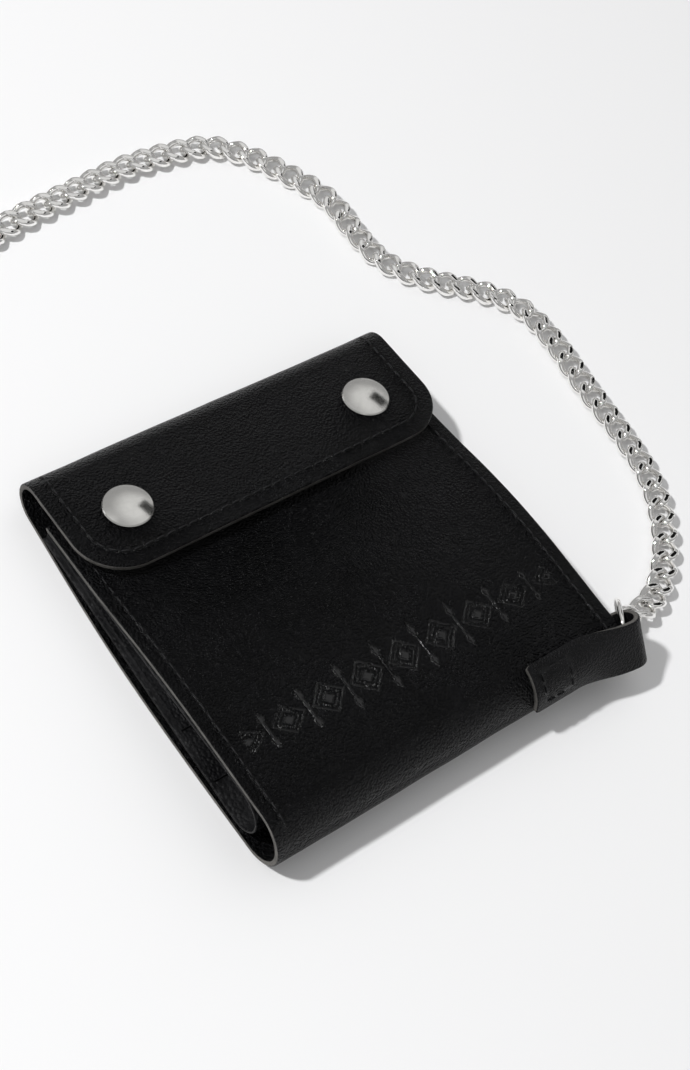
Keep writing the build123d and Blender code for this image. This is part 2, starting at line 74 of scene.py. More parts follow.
# ======== materials ===========================================================
class Nodes:
    """A material's node tree, with short calls to add and join nodes."""

    def __init__(self, name):
        self.material = bpy.data.materials.new(name)
        self.material.use_nodes = True
        self.tree = self.material.node_tree
        self.shader = self.tree.nodes["Principled BSDF"]
        self.place = self.add("ShaderNodeTexCoord").outputs["Object"]

    def add(self, kind, **settings):
        node = self.tree.nodes.new(kind)
        for key, value in settings.items():
            if key in node.inputs:
                node.inputs[key].default_value = value
            else:
                setattr(node, key, value)
        return node

    def join(self, output, target):
        self.tree.links.new(output, target)

    def noise(self, scale, detail, rough):
        node = self.add("ShaderNodeTexNoise", Scale=scale, Detail=detail, Roughness=rough)
        self.join(self.place, node.inputs["Vector"])
        return node.outputs["Fac"]

    def pebbles(self, scale, smoothness):
        node = self.add("ShaderNodeTexVoronoi", feature="SMOOTH_F1", Scale=scale, Smoothness=smoothness)
        self.join(self.place, node.inputs["Vector"])
        return node.outputs["Distance"]

    def math(self, operation, first, second, clamp=False):
        node = self.add("ShaderNodeMath", operation=operation, use_clamp=clamp)
        for slot, value in enumerate((first, second)):
            if isinstance(value, (int, float)):
                node.inputs[slot].default_value = value
            else:
                self.join(value, node.inputs[slot])
        return node.outputs[0]

    def ramp(self, value, low, high, start=0.0, end=1.0):
        node = self.add("ShaderNodeMapRange")
        self.join(value, node.inputs["Value"])
        for key, number in (("From Min", start), ("From Max", end), ("To Min", low), ("To Max", high)):
            node.inputs[key].default_value = number
        return node.outputs["Result"]

    def mix(self, factor, first, second):
        node = self.add("ShaderNodeMix", data_type="RGBA")
        self.join(factor, node.inputs[0])
        for socket, value in ((node.inputs[6], first), (node.inputs[7], second)):
            if isinstance(value, tuple):
                socket.default_value = (*value, 1.0)
            else:
                self.join(value, socket)
        return node.outputs[2]

    def bump(self, height, depth, strength=1.0):
        node = self.add("ShaderNodeBump", Strength=strength, Distance=depth)
        self.join(height, node.inputs["Height"])
        self.join(node.outputs["Normal"], self.shader.inputs["Normal"])

    def set(self, **values):
        for key, value in values.items():
            self.shader.inputs[key.replace("_", " ")].default_value = value
        return self

    def attribute(self, name):
        return self.add("ShaderNodeAttribute", attribute_name=name).outputs["Fac"]


def grained_leather(name, dark, light, pebble, depth, roughness, gloss=0.1):
    """Coated leather: low domes with a finer grain on them and a slow change of shade and gloss.

    Where the hide is pressed it is smooth, darker and glossier.
    """
    nodes = Nodes(name)
    dome = nodes.ramp(nodes.pebbles(pebble, 0.25), 1.0, 0.0, 0.05, 0.7)
    fine = nodes.noise(pebble * 1.7, 2.0, 0.6)
    slow = nodes.noise(60.0, 4.0, 0.55)
    pressed = nodes.attribute("pressed")
    free = nodes.math("SUBTRACT", 1.0, pressed, clamp=True)
    grain = nodes.math("ADD", dome, nodes.math("MULTIPLY", fine, 0.8))
    nodes.bump(nodes.math("MULTIPLY", grain, free), depth)
    shade = nodes.math("MULTIPLY", nodes.ramp(slow, 0.0, 1.0, 0.35, 0.65), free)
    nodes.join(nodes.mix(shade, dark, light), nodes.shader.inputs["Base Color"])
    rough = nodes.ramp(slow, roughness - 0.04, roughness + 0.05, 0.3, 0.7)
    rough = nodes.math("SUBTRACT", rough, nodes.math("MULTIPLY", pressed, 0.08))
    nodes.join(rough, nodes.shader.inputs["Roughness"])
    shine = nodes.math("ADD", nodes.math("MULTIPLY", pressed, 0.35), gloss)
    nodes.join(shine, nodes.shader.inputs["Specular IOR Level"])
    return nodes.material


def cut_edge(name):
    """Raw cut side of leather: warm grey fibres under worn dark edge paint."""
    nodes = Nodes(name)
    fibre = nodes.noise(2600.0, 4.0, 0.7)
    worn = nodes.noise(190.0, 3.0, 0.6)
    colour = nodes.mix(nodes.ramp(worn, 0.0, 1.0, 0.38, 0.62), (0.045, 0.043, 0.04), (0.11, 0.105, 0.098))
    speck = nodes.mix(nodes.ramp(fibre, 0.0, 0.55, 0.3, 0.75), colour, (0.19, 0.182, 0.17))
    nodes.join(speck, nodes.shader.inputs["Base Color"])
    nodes.bump(fibre, 0.00018)
    nodes.set(Roughness=0.78, Specular_IOR_Level=0.25)
    return nodes.material


def thread_material(name):
    """Bonded black thread, with its twist and a soft gloss."""
    nodes = Nodes(name)
    twist = nodes.noise(3800.0, 2.0, 0.6)
    shade = nodes.mix(twist, (0.003, 0.003, 0.0035), (0.012, 0.012, 0.013))
    nodes.join(shade, nodes.shader.inputs["Base Color"])
    nodes.bump(twist, 0.0001)
    nodes.set(Roughness=0.5, Specular_IOR_Level=0.2)
    return nodes.material


def plated(name, colour, roughness, wear=0.06):
    """Nickel plate: bright, with hairlines and faint handling marks."""
    nodes = Nodes(name)
    marks = nodes.noise(420.0, 5.0, 0.65)
    hairline = nodes.noise(5200.0, 2.0, 0.5)
    tint = nodes.mix(nodes.ramp(marks, 0.0, 1.0, 0.35, 0.75), colour, tuple(0.9 * c for c in colour))
    nodes.join(tint, nodes.shader.inputs["Base Color"])
    nodes.join(nodes.ramp(marks, roughness, roughness + wear, 0.4, 0.8), nodes.shader.inputs["Roughness"])
    nodes.bump(hairline, 0.000012, 0.5)
    nodes.set(Metallic=1.0)
    return nodes.material


LEATHER_SKIN = grained_leather("leather_skin", (0.0018, 0.0018, 0.0021), (0.0042, 0.0042, 0.0049),
                               pebble=1500.0, depth=0.001, roughness=0.25, gloss=0.14)
STRAP_SKIN = grained_leather("strap_skin", (0.003, 0.003, 0.0034), (0.0075, 0.0075, 0.0083),
                             pebble=1900.0, depth=0.00022, roughness=0.38, gloss=0.14)
LINER_SKIN = grained_leather("liner_skin", (0.005, 0.005, 0.0055), (0.02, 0.02, 0.021),
                             pebble=900.0, depth=0.00022, roughness=0.42)
POCKET_SKIN = grained_leather("pocket_skin", (0.004, 0.004, 0.0045), (0.014, 0.014, 0.015),
                              pebble=1150.0, depth=0.00018, roughness=0.48)
EDGE = cut_edge("cut_edge")
THREAD = thread_material("black_thread")
NICKEL = plated("nickel_plate", (0.83, 0.82, 0.79), 0.16)
CHAIN_NICKEL = plated("chain_nickel", (0.96, 0.95, 0.93), 0.05, 0.05)
STEEL = plated("spring_steel", (0.55, 0.55, 0.56), 0.28)


# ======== meshes ==============================================================
def piece_from(name, points, faces, materials, indices=None):
    """A new smooth-shaded object from points in millimetres."""
    mesh = bpy.data.meshes.new(name)
    mesh.from_pydata((np.asarray(points, float) * MM).tolist(), [], [list(map(int, f)) for f in faces])
    for material in materials:
        mesh.materials.append(material)
    if indices is not None:
        mesh.polygons.foreach_set("material_index", np.asarray(indices, np.int32))
    mesh.polygons.foreach_set("use_smooth", np.full(len(faces), True))
    mesh.update()
    made = bpy.data.objects.new(name, mesh)
    bpy.context.scene.collection.objects.link(made)
    return made


def edge_drop(distance, radius):
    """How far a rounded edge of that radius has dropped, at each distance in from the edge."""
    near = np.clip(radius - distance, 0, radius)
    return radius - np.sqrt(radius * radius - near * near)


def smooth_step(value, low, high):
    """Rise from 0 at low to 1 at high, level at both."""
    part = np.clip((value - low) / (high - low), 0, 1)
    return part * part * (3 - 2 * part)


def spaced(places, least):
    """Places in order, without those that lie closer than least to the one before."""
    places = np.unique(np.round(places, 4))
    return places[np.concatenate([[True], np.diff(places) > least])]


EDGE_RADIUS = 0.34                      # of the hide's rounded cut edges
EDGE_STEPS = EDGE_RADIUS * np.array([0.0, 0.06, 0.25, 0.55, 1.0])


def edged(start, end, step, fine=()):
    """Places from start to end, close together at both ends and at fine places."""
    inner = np.linspace(start + EDGE_RADIUS, end - EDGE_RADIUS, max(2, ceil((end - start) / step)))
    fine = np.asarray(fine, float)
    return spaced(np.concatenate([start + EDGE_STEPS, inner, end - EDGE_STEPS, fine]), 0.015)


SKIN, CUT = 0, 1                        # kinds of face, and their places in a sheet's list of materials


def sheet_grid(top, bottom):
    """Points and faces of a closed sheet between two grids of points, with each face's row and kind."""
    rows, columns = top.shape[:2]
    points = np.concatenate([top.reshape(-1, 3), bottom.reshape(-1, 3)])
    count = rows * columns

    def at(i, j):
        return i * columns + j

    faces, row_of, kind = [], [], []
    for i in range(rows - 1):
        for j in range(columns - 1):
            a, b, c, d = at(i, j), at(i, j + 1), at(i + 1, j + 1), at(i + 1, j)
            faces.append((a, b, c, d))
            faces.append((a + count, d + count, c + count, b + count))
            row_of += [i, i]
            kind += [SKIN, SKIN]
        for j, flip in ((0, False), (columns - 1, True)):
            a, b = at(i, j), at(i + 1, j)
            side = (a, b, b + count, a + count)
            faces.append(side[::-1] if flip else side)
            row_of.append(i)
            kind.append(CUT)
    for i, flip in ((0, True), (rows - 1, False)):
        for j in range(columns - 1):
            a, b = at(i, j), at(i, j + 1)
            side = (a, b, b + count, a + count)
            faces.append(side[::-1] if flip else side)
            row_of.append(min(i, rows - 2))
            kind.append(CUT)
    return points, faces, np.array(row_of), np.array(kind)


def outward_normals(points, faces):
    """Smooth normals of a mesh in millimetres."""
    mesh = bpy.data.meshes.new("scratch")
    mesh.from_pydata(points.tolist(), [], faces)
    mesh.update()
    normals = np.zeros(len(points) * 3)
    mesh.vertex_normals.foreach_get("vector", normals)
    bpy.data.meshes.remove(mesh)
    return normals.reshape(-1, 3)


def cut_pieces(names, top, bottom, cuts, materials, pressed=None):
    """One sheet, shown as several pieces that meet at rows in cuts and share the whole sheet's normals."""
    points, faces, row_of, kind = sheet_grid(top, bottom)
    normals = outward_normals(points, faces)
    limits = [0, *cuts, top.shape[0] - 1]
    made = []
    for name, low, high in zip(names, limits, limits[1:]):
        chosen = [i for i, row in enumerate(row_of) if low <= row < high]
        used = sorted({v for i in chosen for v in faces[i]})
        new = {v: k for k, v in enumerate(used)}
        own = [[new[v] for v in faces[i]] for i in chosen]
        piece = piece_from(name, points[used], own, materials, kind[chosen])
        if pressed is not None:
            layer = piece.data.attributes.new("pressed", "FLOAT", "POINT")
            layer.data.foreach_set("value", np.tile(pressed.reshape(-1), 2)[used].astype(np.float32))
        piece.data.normals_split_custom_set_from_vertices(normals[used].tolist())
        made.append(piece)
    return made


def unroll(path, station):
    """Place and outward direction (Y, Z) at a distance along a path of arcs and lines."""
    for kind, length, data in path:
        if station <= length or data is path[-1][2]:
            if kind == "line":
                start, direction, normal = data
                return start + direction * station, normal
            centre, radius, first, turn = data
            angle = first + turn * station / radius
            normal = np.array([cos(angle), sin(angle)])
            return centre + normal * radius, normal
        station -= length
    raise ValueError(station)


def wave(x, s, scale, seed):
    """Slow unevenness of a hide, between -1 and 1."""
    return np.array([[noise.noise(Vector((a / scale, b / scale, seed))) for a in x] for b in s])


# ---- outer shell -------------------------------------------------------------
TOP = pi / 2 - TILT                     # angle where the cover leaves the near fold, and the flap the far one
NEAR_ARC = (1.5 * pi - TOP) * NEAR_RADIUS
FAR_ARC = (TOP + pi / 2) * FAR_RADIUS
SHELL_PATH = [
    ("line", COVER_LENGTH, (COVER_START + ALONG * COVER_LENGTH, -ALONG, OUT)),
    ("arc", NEAR_ARC, (np.array(NEAR), NEAR_RADIUS, TOP, 1.0)),
    ("line", BACK_LENGTH, (np.array([NEAR[0], 0.0]), np.array([1.0, 0.0]), np.array([0.0, -1.0]))),
    ("arc", FAR_ARC, (np.array(FAR), FAR_RADIUS, -pi / 2, 1.0)),
    ("line", FLAP_REACH, (FLAP_START, -ALONG, OUT)),
]
SHELL_LENGTH = sum(length for _, length, _ in SHELL_PATH)
SEAM_INSET = 3.4                        # side seams of the front panel, in from its edges
FLAP_SEAM_INSET = 4.4
BAND_MIDDLE = 15.2                      # pressed border's middle, from where the cover leaves the near fold
BAND_HEIGHT = 6.3                       # and how far its figures reach either side of that
BAND_SPAN = 46.2                        # and either side of the cover's middle
BAND_ROWS = np.arange(-6.2, 6.2, 0.36)  # close rows of the mesh that show it
MOTIF = 11.25                           # pitch of the border's lozenges
SEAM_ROWS = np.array([-0.45, -0.22, 0, 0.22, 0.45])     # and close columns either side of a seam
EDGE_MARGIN = 1.0                       # columns this near an edge follow it
BORDER_DEPTH = 0.5
SEAM_DEPTH = 0.2
CROWN_RISE = 1.5                        # of the front panel's middle
CROWN_END = 0.78                        # and the share of the panel's length that it takes up

spine_cut = COVER_LENGTH + (pi - TOP) * NEAR_RADIUS
back_cut = COVER_LENGTH + NEAR_ARC + BACK_LENGTH / 2
fold_cut = COVER_LENGTH + NEAR_ARC + BACK_LENGTH + (pi / 2 - 0.05) * FAR_RADIUS
flap_begin = SHELL_LENGTH - FLAP_REACH

stations = spaced(np.concatenate([
    edged(0, COVER_LENGTH, 1.5, COVER_LENGTH - BAND_MIDDLE + BAND_ROWS),
    COVER_LENGTH + np.linspace(0, NEAR_ARC, 40)[1:],
    COVER_LENGTH + NEAR_ARC + np.linspace(0, BACK_LENGTH, 50)[1:],
    COVER_LENGTH + NEAR_ARC + BACK_LENGTH + np.linspace(0, FAR_ARC, 26)[1:],
    flap_begin + np.linspace(0, FLAP_REACH - FLAP_CORNER, 22)[1:],
    SHELL_LENGTH - FLAP_CORNER + FLAP_CORNER * np.sin(np.linspace(0, 1, 26)[1:] * pi / 2),
    [spine_cut, back_cut, fold_cut], SHELL_LENGTH - EDGE_STEPS,
    SHELL_LENGTH - FLAP_SEAM_INSET + np.array([-0.5, -0.25, 0, 0.25, 0.5])]), 0.012)
seam_lines = [side * (HALF - inset + near) for side in (-1, 1) for inset in (SEAM_INSET, FLAP_SEAM_INSET)
              for near in SEAM_ROWS]
across = edged(-HALF, HALF, 0.42, seam_lines)


def border_pattern(x, y):
    """Depth from 0 to 1 of the pressed border: lozenges, lower towards both ends, with spears between."""
    u = np.abs((x + MOTIF / 2) % MOTIF - MOTIF / 2)
    v = np.abs(y) / (1 - 0.4 * np.clip(np.abs(x) / BAND_SPAN, 0, 1) ** 2)
    lozenge = u / (MOTIF * 0.46) + v / (BAND_HEIGHT * 0.84)
    line = 1 - smooth_step(np.abs(lozenge - 0.86), 0.05, 0.12)
    heart = 1 - smooth_step(lozenge, 0.3, 0.4)
    inner = 1 - smooth_step(np.abs(lozenge - 0.58), 0.03, 0.09)
    gap = np.abs(u - MOTIF / 2)
    spear = 1 - smooth_step(gap / 1.25 + np.abs(v - BAND_HEIGHT * 0.72) / 2.9, 0.75, 1.0)
    stem = 1 - smooth_step(gap / 0.42 + np.maximum(v - BAND_HEIGHT * 0.4, 0) / 1.5, 0.7, 1.2)
    inside = 1 - smooth_step(np.abs(x), BAND_SPAN - 0.4, BAND_SPAN)
    return np.maximum.reduce([line, heart, inner, spear, stem]) * inside


FLAP_SHIFT = 1.5                        # the far fold and the flap lie this much further right than the cover
FLAP_SPREAD = 0.6                       # and the flap's ends this much further out
PANEL_BOW = 1.2                         # cover's right edge and back's left edge swell out by this


def settled(x, s):
    """X of a place on the shell as the hide lies, from its X on a square-cut shell and its station."""
    ahead = smooth_step(s, back_cut, flap_begin)
    cover = np.sin(pi * np.clip(s / COVER_LENGTH, 0, 1)) * np.clip(x / HALF, 0, 1) ** 2
    behind = np.clip((s - COVER_LENGTH - NEAR_ARC) / BACK_LENGTH, 0, 1)
    back = np.sin(pi * behind) * np.clip(-x / HALF, 0, 1) ** 2
    return x + ahead * (FLAP_SHIFT + FLAP_SPREAD * x / HALF) + PANEL_BOW * (cover - back)


def flap_half_width(station):
    """Half the shell's width at a station: the flap's free corners are round."""
    left = SHELL_LENGTH - station
    if left >= FLAP_CORNER:
        return HALF
    return HALF - FLAP_CORNER + sqrt(max(0.0, FLAP_CORNER ** 2 - (FLAP_CORNER - left) ** 2))


def groove(distance, width=0.42):
    """Shape of the trough that a row of stitches pulls into leather, 1 at its middle."""
    return np.exp(-(distance / width) ** 2)


def shell_relief(x, s):
    """Rise of the shell's skin above its plain shape, and how hard each place is pressed."""
    from_fold = COVER_LENGTH - s
    on_cover = (from_fold > -NEAR_RADIUS * 0.9).astype(float)
    fade = smooth_step(s, 18, 24)
    stitched = groove(HALF - SEAM_INSET - np.abs(x)) * on_cover * fade
    border = border_pattern(x, from_fold - BAND_MIDDLE) * (np.abs(from_fold - BAND_MIDDLE) < 8)
    ahead = SHELL_LENGTH - s
    corner_x = np.abs(x) - (HALF - FLAP_CORNER)
    corner_y = FLAP_CORNER - ahead
    round_in = FLAP_CORNER - np.hypot(np.maximum(corner_x, 0), np.maximum(corner_y, 0))
    inset = np.where((corner_x > 0) & (corner_y > 0), round_in, np.minimum(HALF - np.abs(x), ahead))
    on_flap = smooth_step(s, flap_begin - 4, flap_begin)
    flap_seam = groove(inset - FLAP_SEAM_INSET) * on_flap
    edge_in = np.where(on_flap > 0, inset, HALF - np.abs(x))
    rounded = edge_drop(np.minimum(np.minimum(edge_in, s), ahead), EDGE_RADIUS)
    sunk = SEAM_DEPTH * stitched + SEAM_DEPTH * flap_seam + BORDER_DEPTH * border
    pressed = np.clip(np.maximum(border, 0.6 * np.maximum(stitched, flap_seam)), 0, 1)
    return -sunk - rounded, pressed


def crown(s):
    """Rise of the whole front panel in the middle, where the pockets fill it out."""
    part = np.clip((COVER_LENGTH - s) / COVER_LENGTH, 0, 1)
    return CROWN_RISE * np.sin(pi * np.clip(part / CROWN_END, 0, 1)) ** 1.5


def build_shell():
    """The outer hide: one sheet round both folds, shown as four pieces."""
    frame_of = [unroll(SHELL_PATH, s) for s in stations]
    place = np.array([p for p, _ in frame_of])
    normal = np.array([n for _, n in frame_of])
    half = np.array([flap_half_width(s) for s in stations])[:, None]
    # rows narrow round the flap's corners, and the columns beside an edge keep their distance from it
    side = np.sign(across)
    from_edge = HALF - np.abs(across)
    x = np.where(from_edge < EDGE_MARGIN, side * half - side * from_edge, across * (half / HALF))
    s = np.repeat(stations[:, None], len(across), axis=1)
    rise, pressed = shell_relief(x, s)
    soft = 0.22 * wave(across, stations, 26.0, 3.1) + 0.1 * wave(across, stations, 11.0, 8.7)
    flat = smooth_step(s, COVER_LENGTH + NEAR_ARC - 6, COVER_LENGTH + NEAR_ARC) * (
        1 - smooth_step(s, flap_begin - FAR_ARC, flap_begin - FAR_ARC + 6))
    lift = crown(s) + soft * (1 - flat)
    top = np.zeros((*x.shape, 3))
    bottom = np.zeros((*x.shape, 3))
    top[..., 0] = bottom[..., 0] = settled(x, s)
    for axis in (0, 1):
        top[..., axis + 1] = place[:, None, axis] + normal[:, None, axis] * (lift + rise)
        bottom[..., axis + 1] = place[:, None, axis] + normal[:, None, axis] * (lift - LEATHER)
    cuts = [int(np.argmin(np.abs(stations - cut))) for cut in (spine_cut, back_cut, fold_cut)]
    return cut_pieces(["shell_front", "shell_spine", "shell_back", "shell_flap"], top, bottom, cuts,
                      [LEATHER_SKIN, EDGE], pressed)


def bend(piece, first, second):
    """Bake a piece's placement into its mesh; it stays where it is built and turns with no body."""
    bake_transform(piece)


front, spine, back, flap = build_shell()
for piece, bodies, nodes in ((front, ("cover", "spine"), ["outer_shell_front"]),
                             (spine, ("spine", "back"), ["outer_shell_spine"]),
                             (back, ("back", "far_fold"), ["outer_shell_back", "outer_shell_far_fold"]),
                             (flap, ("far_fold", "flap"), ["outer_shell_flap"])):
    bend(piece, *bodies)
    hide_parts(*nodes)

# ---- liner: back, its own tighter turn, and front ----------------------------
LINER_LOW = LEATHER + 0.2
LINER_DEPTH = LEATHER + 0.7             # below the cover's outer face
LINER_EDGE = 0.28                       # radius of its rounded edges
turn_y = NEAR[0] + 6.7                  # where the liner's turn begins and ends
liner_start = (turn_y - COVER_START[0]) / cos(TILT)
liner_top = COVER_START[1] - LINER_DEPTH / cos(TILT) - (turn_y - COVER_START[0]) * (sin(TILT) / cos(TILT))
LINER_RADIUS = (liner_top - LINER_LOW) / 2
LINER_CENTRE = np.array([turn_y, LINER_LOW + LINER_RADIUS])
LINER_END = FAR[0] - 6.5
liner_run = COVER_LENGTH - 1.0 - liner_start
liner_arc = (1.5 * pi - TOP) * LINER_RADIUS
inner_half = HALF - 0.3
liner_tangent = LINER_CENTRE + OUT * LINER_RADIUS
LINER_PATH = [
    ("line", liner_run, (liner_tangent + ALONG * liner_run, -ALONG, OUT)),
    ("arc", liner_arc, (LINER_CENTRE, LINER_RADIUS, TOP, 1.0)),
    ("line", LINER_END - turn_y,
     (np.array([turn_y, LINER_LOW]), np.array([1.0, 0.0]), np.array([0.0, -1.0]))),
]


def build_liner():
    """The bill compartment's inner wall: one thin sheet, shown as two pieces that meet in its turn."""
    length = sum(run for _, run, _ in LINER_PATH)
    cut = liner_run + liner_arc / 2
    rows = spaced(np.concatenate([edged(0, liner_run, 3.0), liner_run + np.linspace(0, liner_arc, 25),
                                  edged(liner_run + liner_arc, length, 3.0), [cut]]), 0.012)
    columns = edged(-inner_half, inner_half, 2.0)
    frame_of = [unroll(LINER_PATH, s) for s in rows]
    soft = 0.12 * wave(columns, rows, 19.0, 5.5)
    from_side = inner_half - np.abs(columns)[None, :]
    from_end = np.minimum(rows, length - rows)[:, None]
    drop = edge_drop(np.minimum(from_side, from_end), LINER_EDGE)
    top = np.zeros((len(rows), len(columns), 3))
    bottom = np.zeros_like(top)
    for i, (place, normal) in enumerate(frame_of):
        for grid, rise in ((top, soft[i] - drop[i]), (bottom, soft[i] - LINING + drop[i])):
            grid[i, :, 0] = columns
            grid[i, :, 1] = place[0] + normal[0] * rise
            grid[i, :, 2] = place[1] + normal[1] * rise
    return cut_pieces(["liner_front_sheet", "liner_back_sheet"], top, bottom,
                      [int(np.argmin(np.abs(rows - cut)))], [LINER_SKIN, EDGE])


liner_front, liner_back = build_liner()
bend(liner_front, "cover", "spine")
bend(liner_back, "spine", "back")
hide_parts("liner_front", "liner_spine")
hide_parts("liner_back")


# ---- flap lining and card pockets: flat leaves with rounded edges ------------
def leaf_sheet(name, outline, origin, side, forward, thickness, materials):
    """A flat leaf from its outline, side and forward its own axes; its edges are rounded."""
    outline = np.asarray(outline, float)
    before, after = np.roll(outline, 1, axis=0), np.roll(outline, -1, axis=0)
    tangent = after - before
    inward = np.stack([-tangent[:, 1], tangent[:, 0]], axis=1)
    inward /= np.linalg.norm(inward, axis=1)[:, None]
    radius = 0.4 * thickness
    up = np.cross(side, forward)
    rings = []
    for inset, height in ((radius, 0), (0.3 * radius, -0.3 * radius), (0, -radius), (0, radius - thickness),
                          (0.3 * radius, 0.3 * radius - thickness), (radius, -thickness)):
        rings.append(np.array([origin + side * x + forward * y + up * height
                               for x, y in outline + inward * inset]))
    count = len(outline)
    bands = len(rings) - 1
    faces = [[(k + 1) * count + i, (k + 1) * count + (i + 1) % count,
              k * count + (i + 1) % count, k * count + i] for k in range(bands) for i in range(count)]
    faces.append(list(range(count)))
    faces.append([bands * count + i for i in reversed(range(count))])
    kinds = [CUT] * (bands * count) + [SKIN, SKIN]
    leaf = piece_from(name, np.concatenate(rings), faces, materials, kinds)
    for flat in (-1, -2):
        leaf.data.polygons[len(faces) + flat].use_smooth = False
    return leaf


def arc_points(centre, radius, first, last, count=14):
    return [(centre[0] + radius * cos(radians(a)), centre[1] + radius * sin(radians(a)))
            for a in np.linspace(first, last, count)]


X_AXIS = np.array([1.0, 0.0, 0.0])
Y_AXIS = np.array([0.0, 1.0, 0.0])
ALONG3 = np.array([0.0, *ALONG])
OUT3 = np.array([0.0, *OUT])
FLAP3 = np.array([0.0, *FLAP_START])
COVER3 = np.array([0.0, *COVER_START])

LINING_INSET = 0.2                      # the flap's lining stops this short of the flap's edge
lining_half = HALF - LINING_INSET
lining_corner = FLAP_CORNER - LINING_INSET
lining_front = -FLAP_REACH + LINING_INSET
lining_back = -1.5
corner_x, corner_y = lining_half - lining_corner, lining_front + lining_corner
lining_outline = ([(lining_half, lining_back), (-lining_half, lining_back)]
                  + arc_points((-corner_x, corner_y), lining_corner, 180, 270)
                  + arc_points((corner_x, corner_y), lining_corner, 270, 360))
lining_outline = [(float(settled(x, SHELL_LENGTH)), y) for x, y in lining_outline]
lining = leaf_sheet("flap_lining_sheet", lining_outline, FLAP3 - OUT3 * LEATHER, X_AXIS, ALONG3, LINING,
                    [LINER_SKIN, EDGE])
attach(lining, "flap")
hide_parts("flap_lining")

POCKET_LEAF = 0.7
POCKET_STEP = 14.0                      # each leaf starts this much further in than the one under it
NOTCH = 9.0                             # radius of the thumb notches
pocket_half = inner_half - 1.0


def pocket_outline(start, end):
    notch = arc_points((0, start), NOTCH, 180, 0, 22)
    return [(-pocket_half, start), *notch, (pocket_half, start), (pocket_half, end), (-pocket_half, end)]


STITCH_PITCH = 3.1
STITCH_LENGTH = 2.5
THREAD_WIDTH = 0.5
THREAD_RISE = 0.04                      # thread's middle above the leather, halfway along a stitch
STITCH_RINGS = 9
STITCH_SIDES = 8


def reaches(line):
    """Distance along a polyline at each of its points."""
    return np.concatenate([[0], np.cumsum(np.linalg.norm(np.diff(line, axis=0), axis=1))])


def along(line, reach, at):
    """Point at a distance along a polyline, or the value there of what its points carry."""
    return np.array([np.interp(at, reach, line[:, c]) for c in range(3)])


def unit(vector):
    return vector / np.linalg.norm(vector)


def tube_faces(rings, sides, closed=False):
    """Faces of a tube whose points come ring by ring; a closed one joins its last ring to its first."""
    return [[i * sides + j, i * sides + (j + 1) % sides,
             (i + 1) % rings * sides + (j + 1) % sides, (i + 1) % rings * sides + j]
            for i in range(rings if closed else rings - 1) for j in range(sides)]


def repeated(faces, size, count):
    """Faces of count copies of a shape that has size points."""
    return [[v + k * size for v in face] for k in range(count) for face in faces]


def stitch_row(points, normals):
    """Points and faces of a row of stitches along a polyline; each dips into the leather at both ends."""
    points = np.asarray(points, float)
    normals = np.asarray(normals, float)
    reach = reaches(points)
    made = []
    for k in range(int(reach[-1] // STITCH_PITCH)):
        middle = (k + 0.5) * STITCH_PITCH
        for t in np.linspace(-1, 1, STITCH_RINGS):
            at = np.clip(middle + t * STITCH_LENGTH / 2, 0, reach[-1])
            up = unit(along(normals, reach, at))
            before, after = max(at - 0.2, 0), min(at + 0.2, reach[-1])
            ahead = unit(along(points, reach, after) - along(points, reach, before))
            beside = np.cross(up, ahead)
            size = THREAD_WIDTH / 2 * sqrt(max(0.08, 1 - 0.75 * t ** 6))
            centre = along(points, reach, at) + up * (THREAD_RISE - 0.5 * t ** 6)
            made += [centre + size * (beside * cos(a) + up * sin(a) * 0.85)
                     for a in np.linspace(0, tau, STITCH_SIDES + 1)[:-1]]
    size = STITCH_RINGS * STITCH_SIDES
    own = tube_faces(STITCH_RINGS, STITCH_SIDES)
    own.append(list(reversed(range(STITCH_SIDES))))
    own.append(list(range(size - STITCH_SIDES, size)))
    return np.array(made), repeated(own, size, len(made) // size)


def stitches(name, rows):
    """One piece of stitches from several polylines, each a list of points and one of outward directions."""
    points, faces, base = [], [], 0
    for line, normals in rows:
        more, own = stitch_row(line, normals)
        points.append(more)
        faces += [[v + base for v in face] for face in own]
        base += len(more)
    piece = piece_from(name, np.concatenate(points), faces, [THREAD])
    return piece


def pocket(name, node, body, origin, forward, start, end):
    leaf = leaf_sheet(name, pocket_outline(start, end), origin, X_AXIS, forward, POCKET_LEAF,
                      [POCKET_SKIN, POCKET_SKIN])
    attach(leaf, body)
    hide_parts(node)


BACK_POCKET = NEAR[0] + 16.0
FRONT_POCKET = liner_start + 11.0
for index, rank in enumerate(("rear", "front")):
    height = LINER_LOW + LINING + (index + 1) * POCKET_LEAF
    pocket(f"pocket_back_{rank}", f"card_pocket_back_{rank}", "back", np.array([0, 0, height]),
           Y_AXIS, BACK_POCKET + index * POCKET_STEP, LINER_END)
    depth = LINER_DEPTH + LINING + index * POCKET_LEAF
    pocket(f"pocket_front_{rank}", f"card_pocket_front_{rank}", "cover", COVER3 - OUT3 * depth, ALONG3,
           FRONT_POCKET + index * POCKET_STEP, COVER_LENGTH - 2.0)



def pocket_seams(face, forward, up, first, last):
    """Rows of stitches down both sides of a pocket and across its foot, seen when the wallet is open."""
    side_x = pocket_half - 2.2
    foot_x = pocket_half - 3
    ends = [((side * side_x, first), (side * side_x, last)) for side in (-1, 1)]
    ends.append(((-foot_x, last), (foot_x, last)))
    return [([face + X_AXIS * x + forward * run for x, run in pair], [up] * 2) for pair in ends]


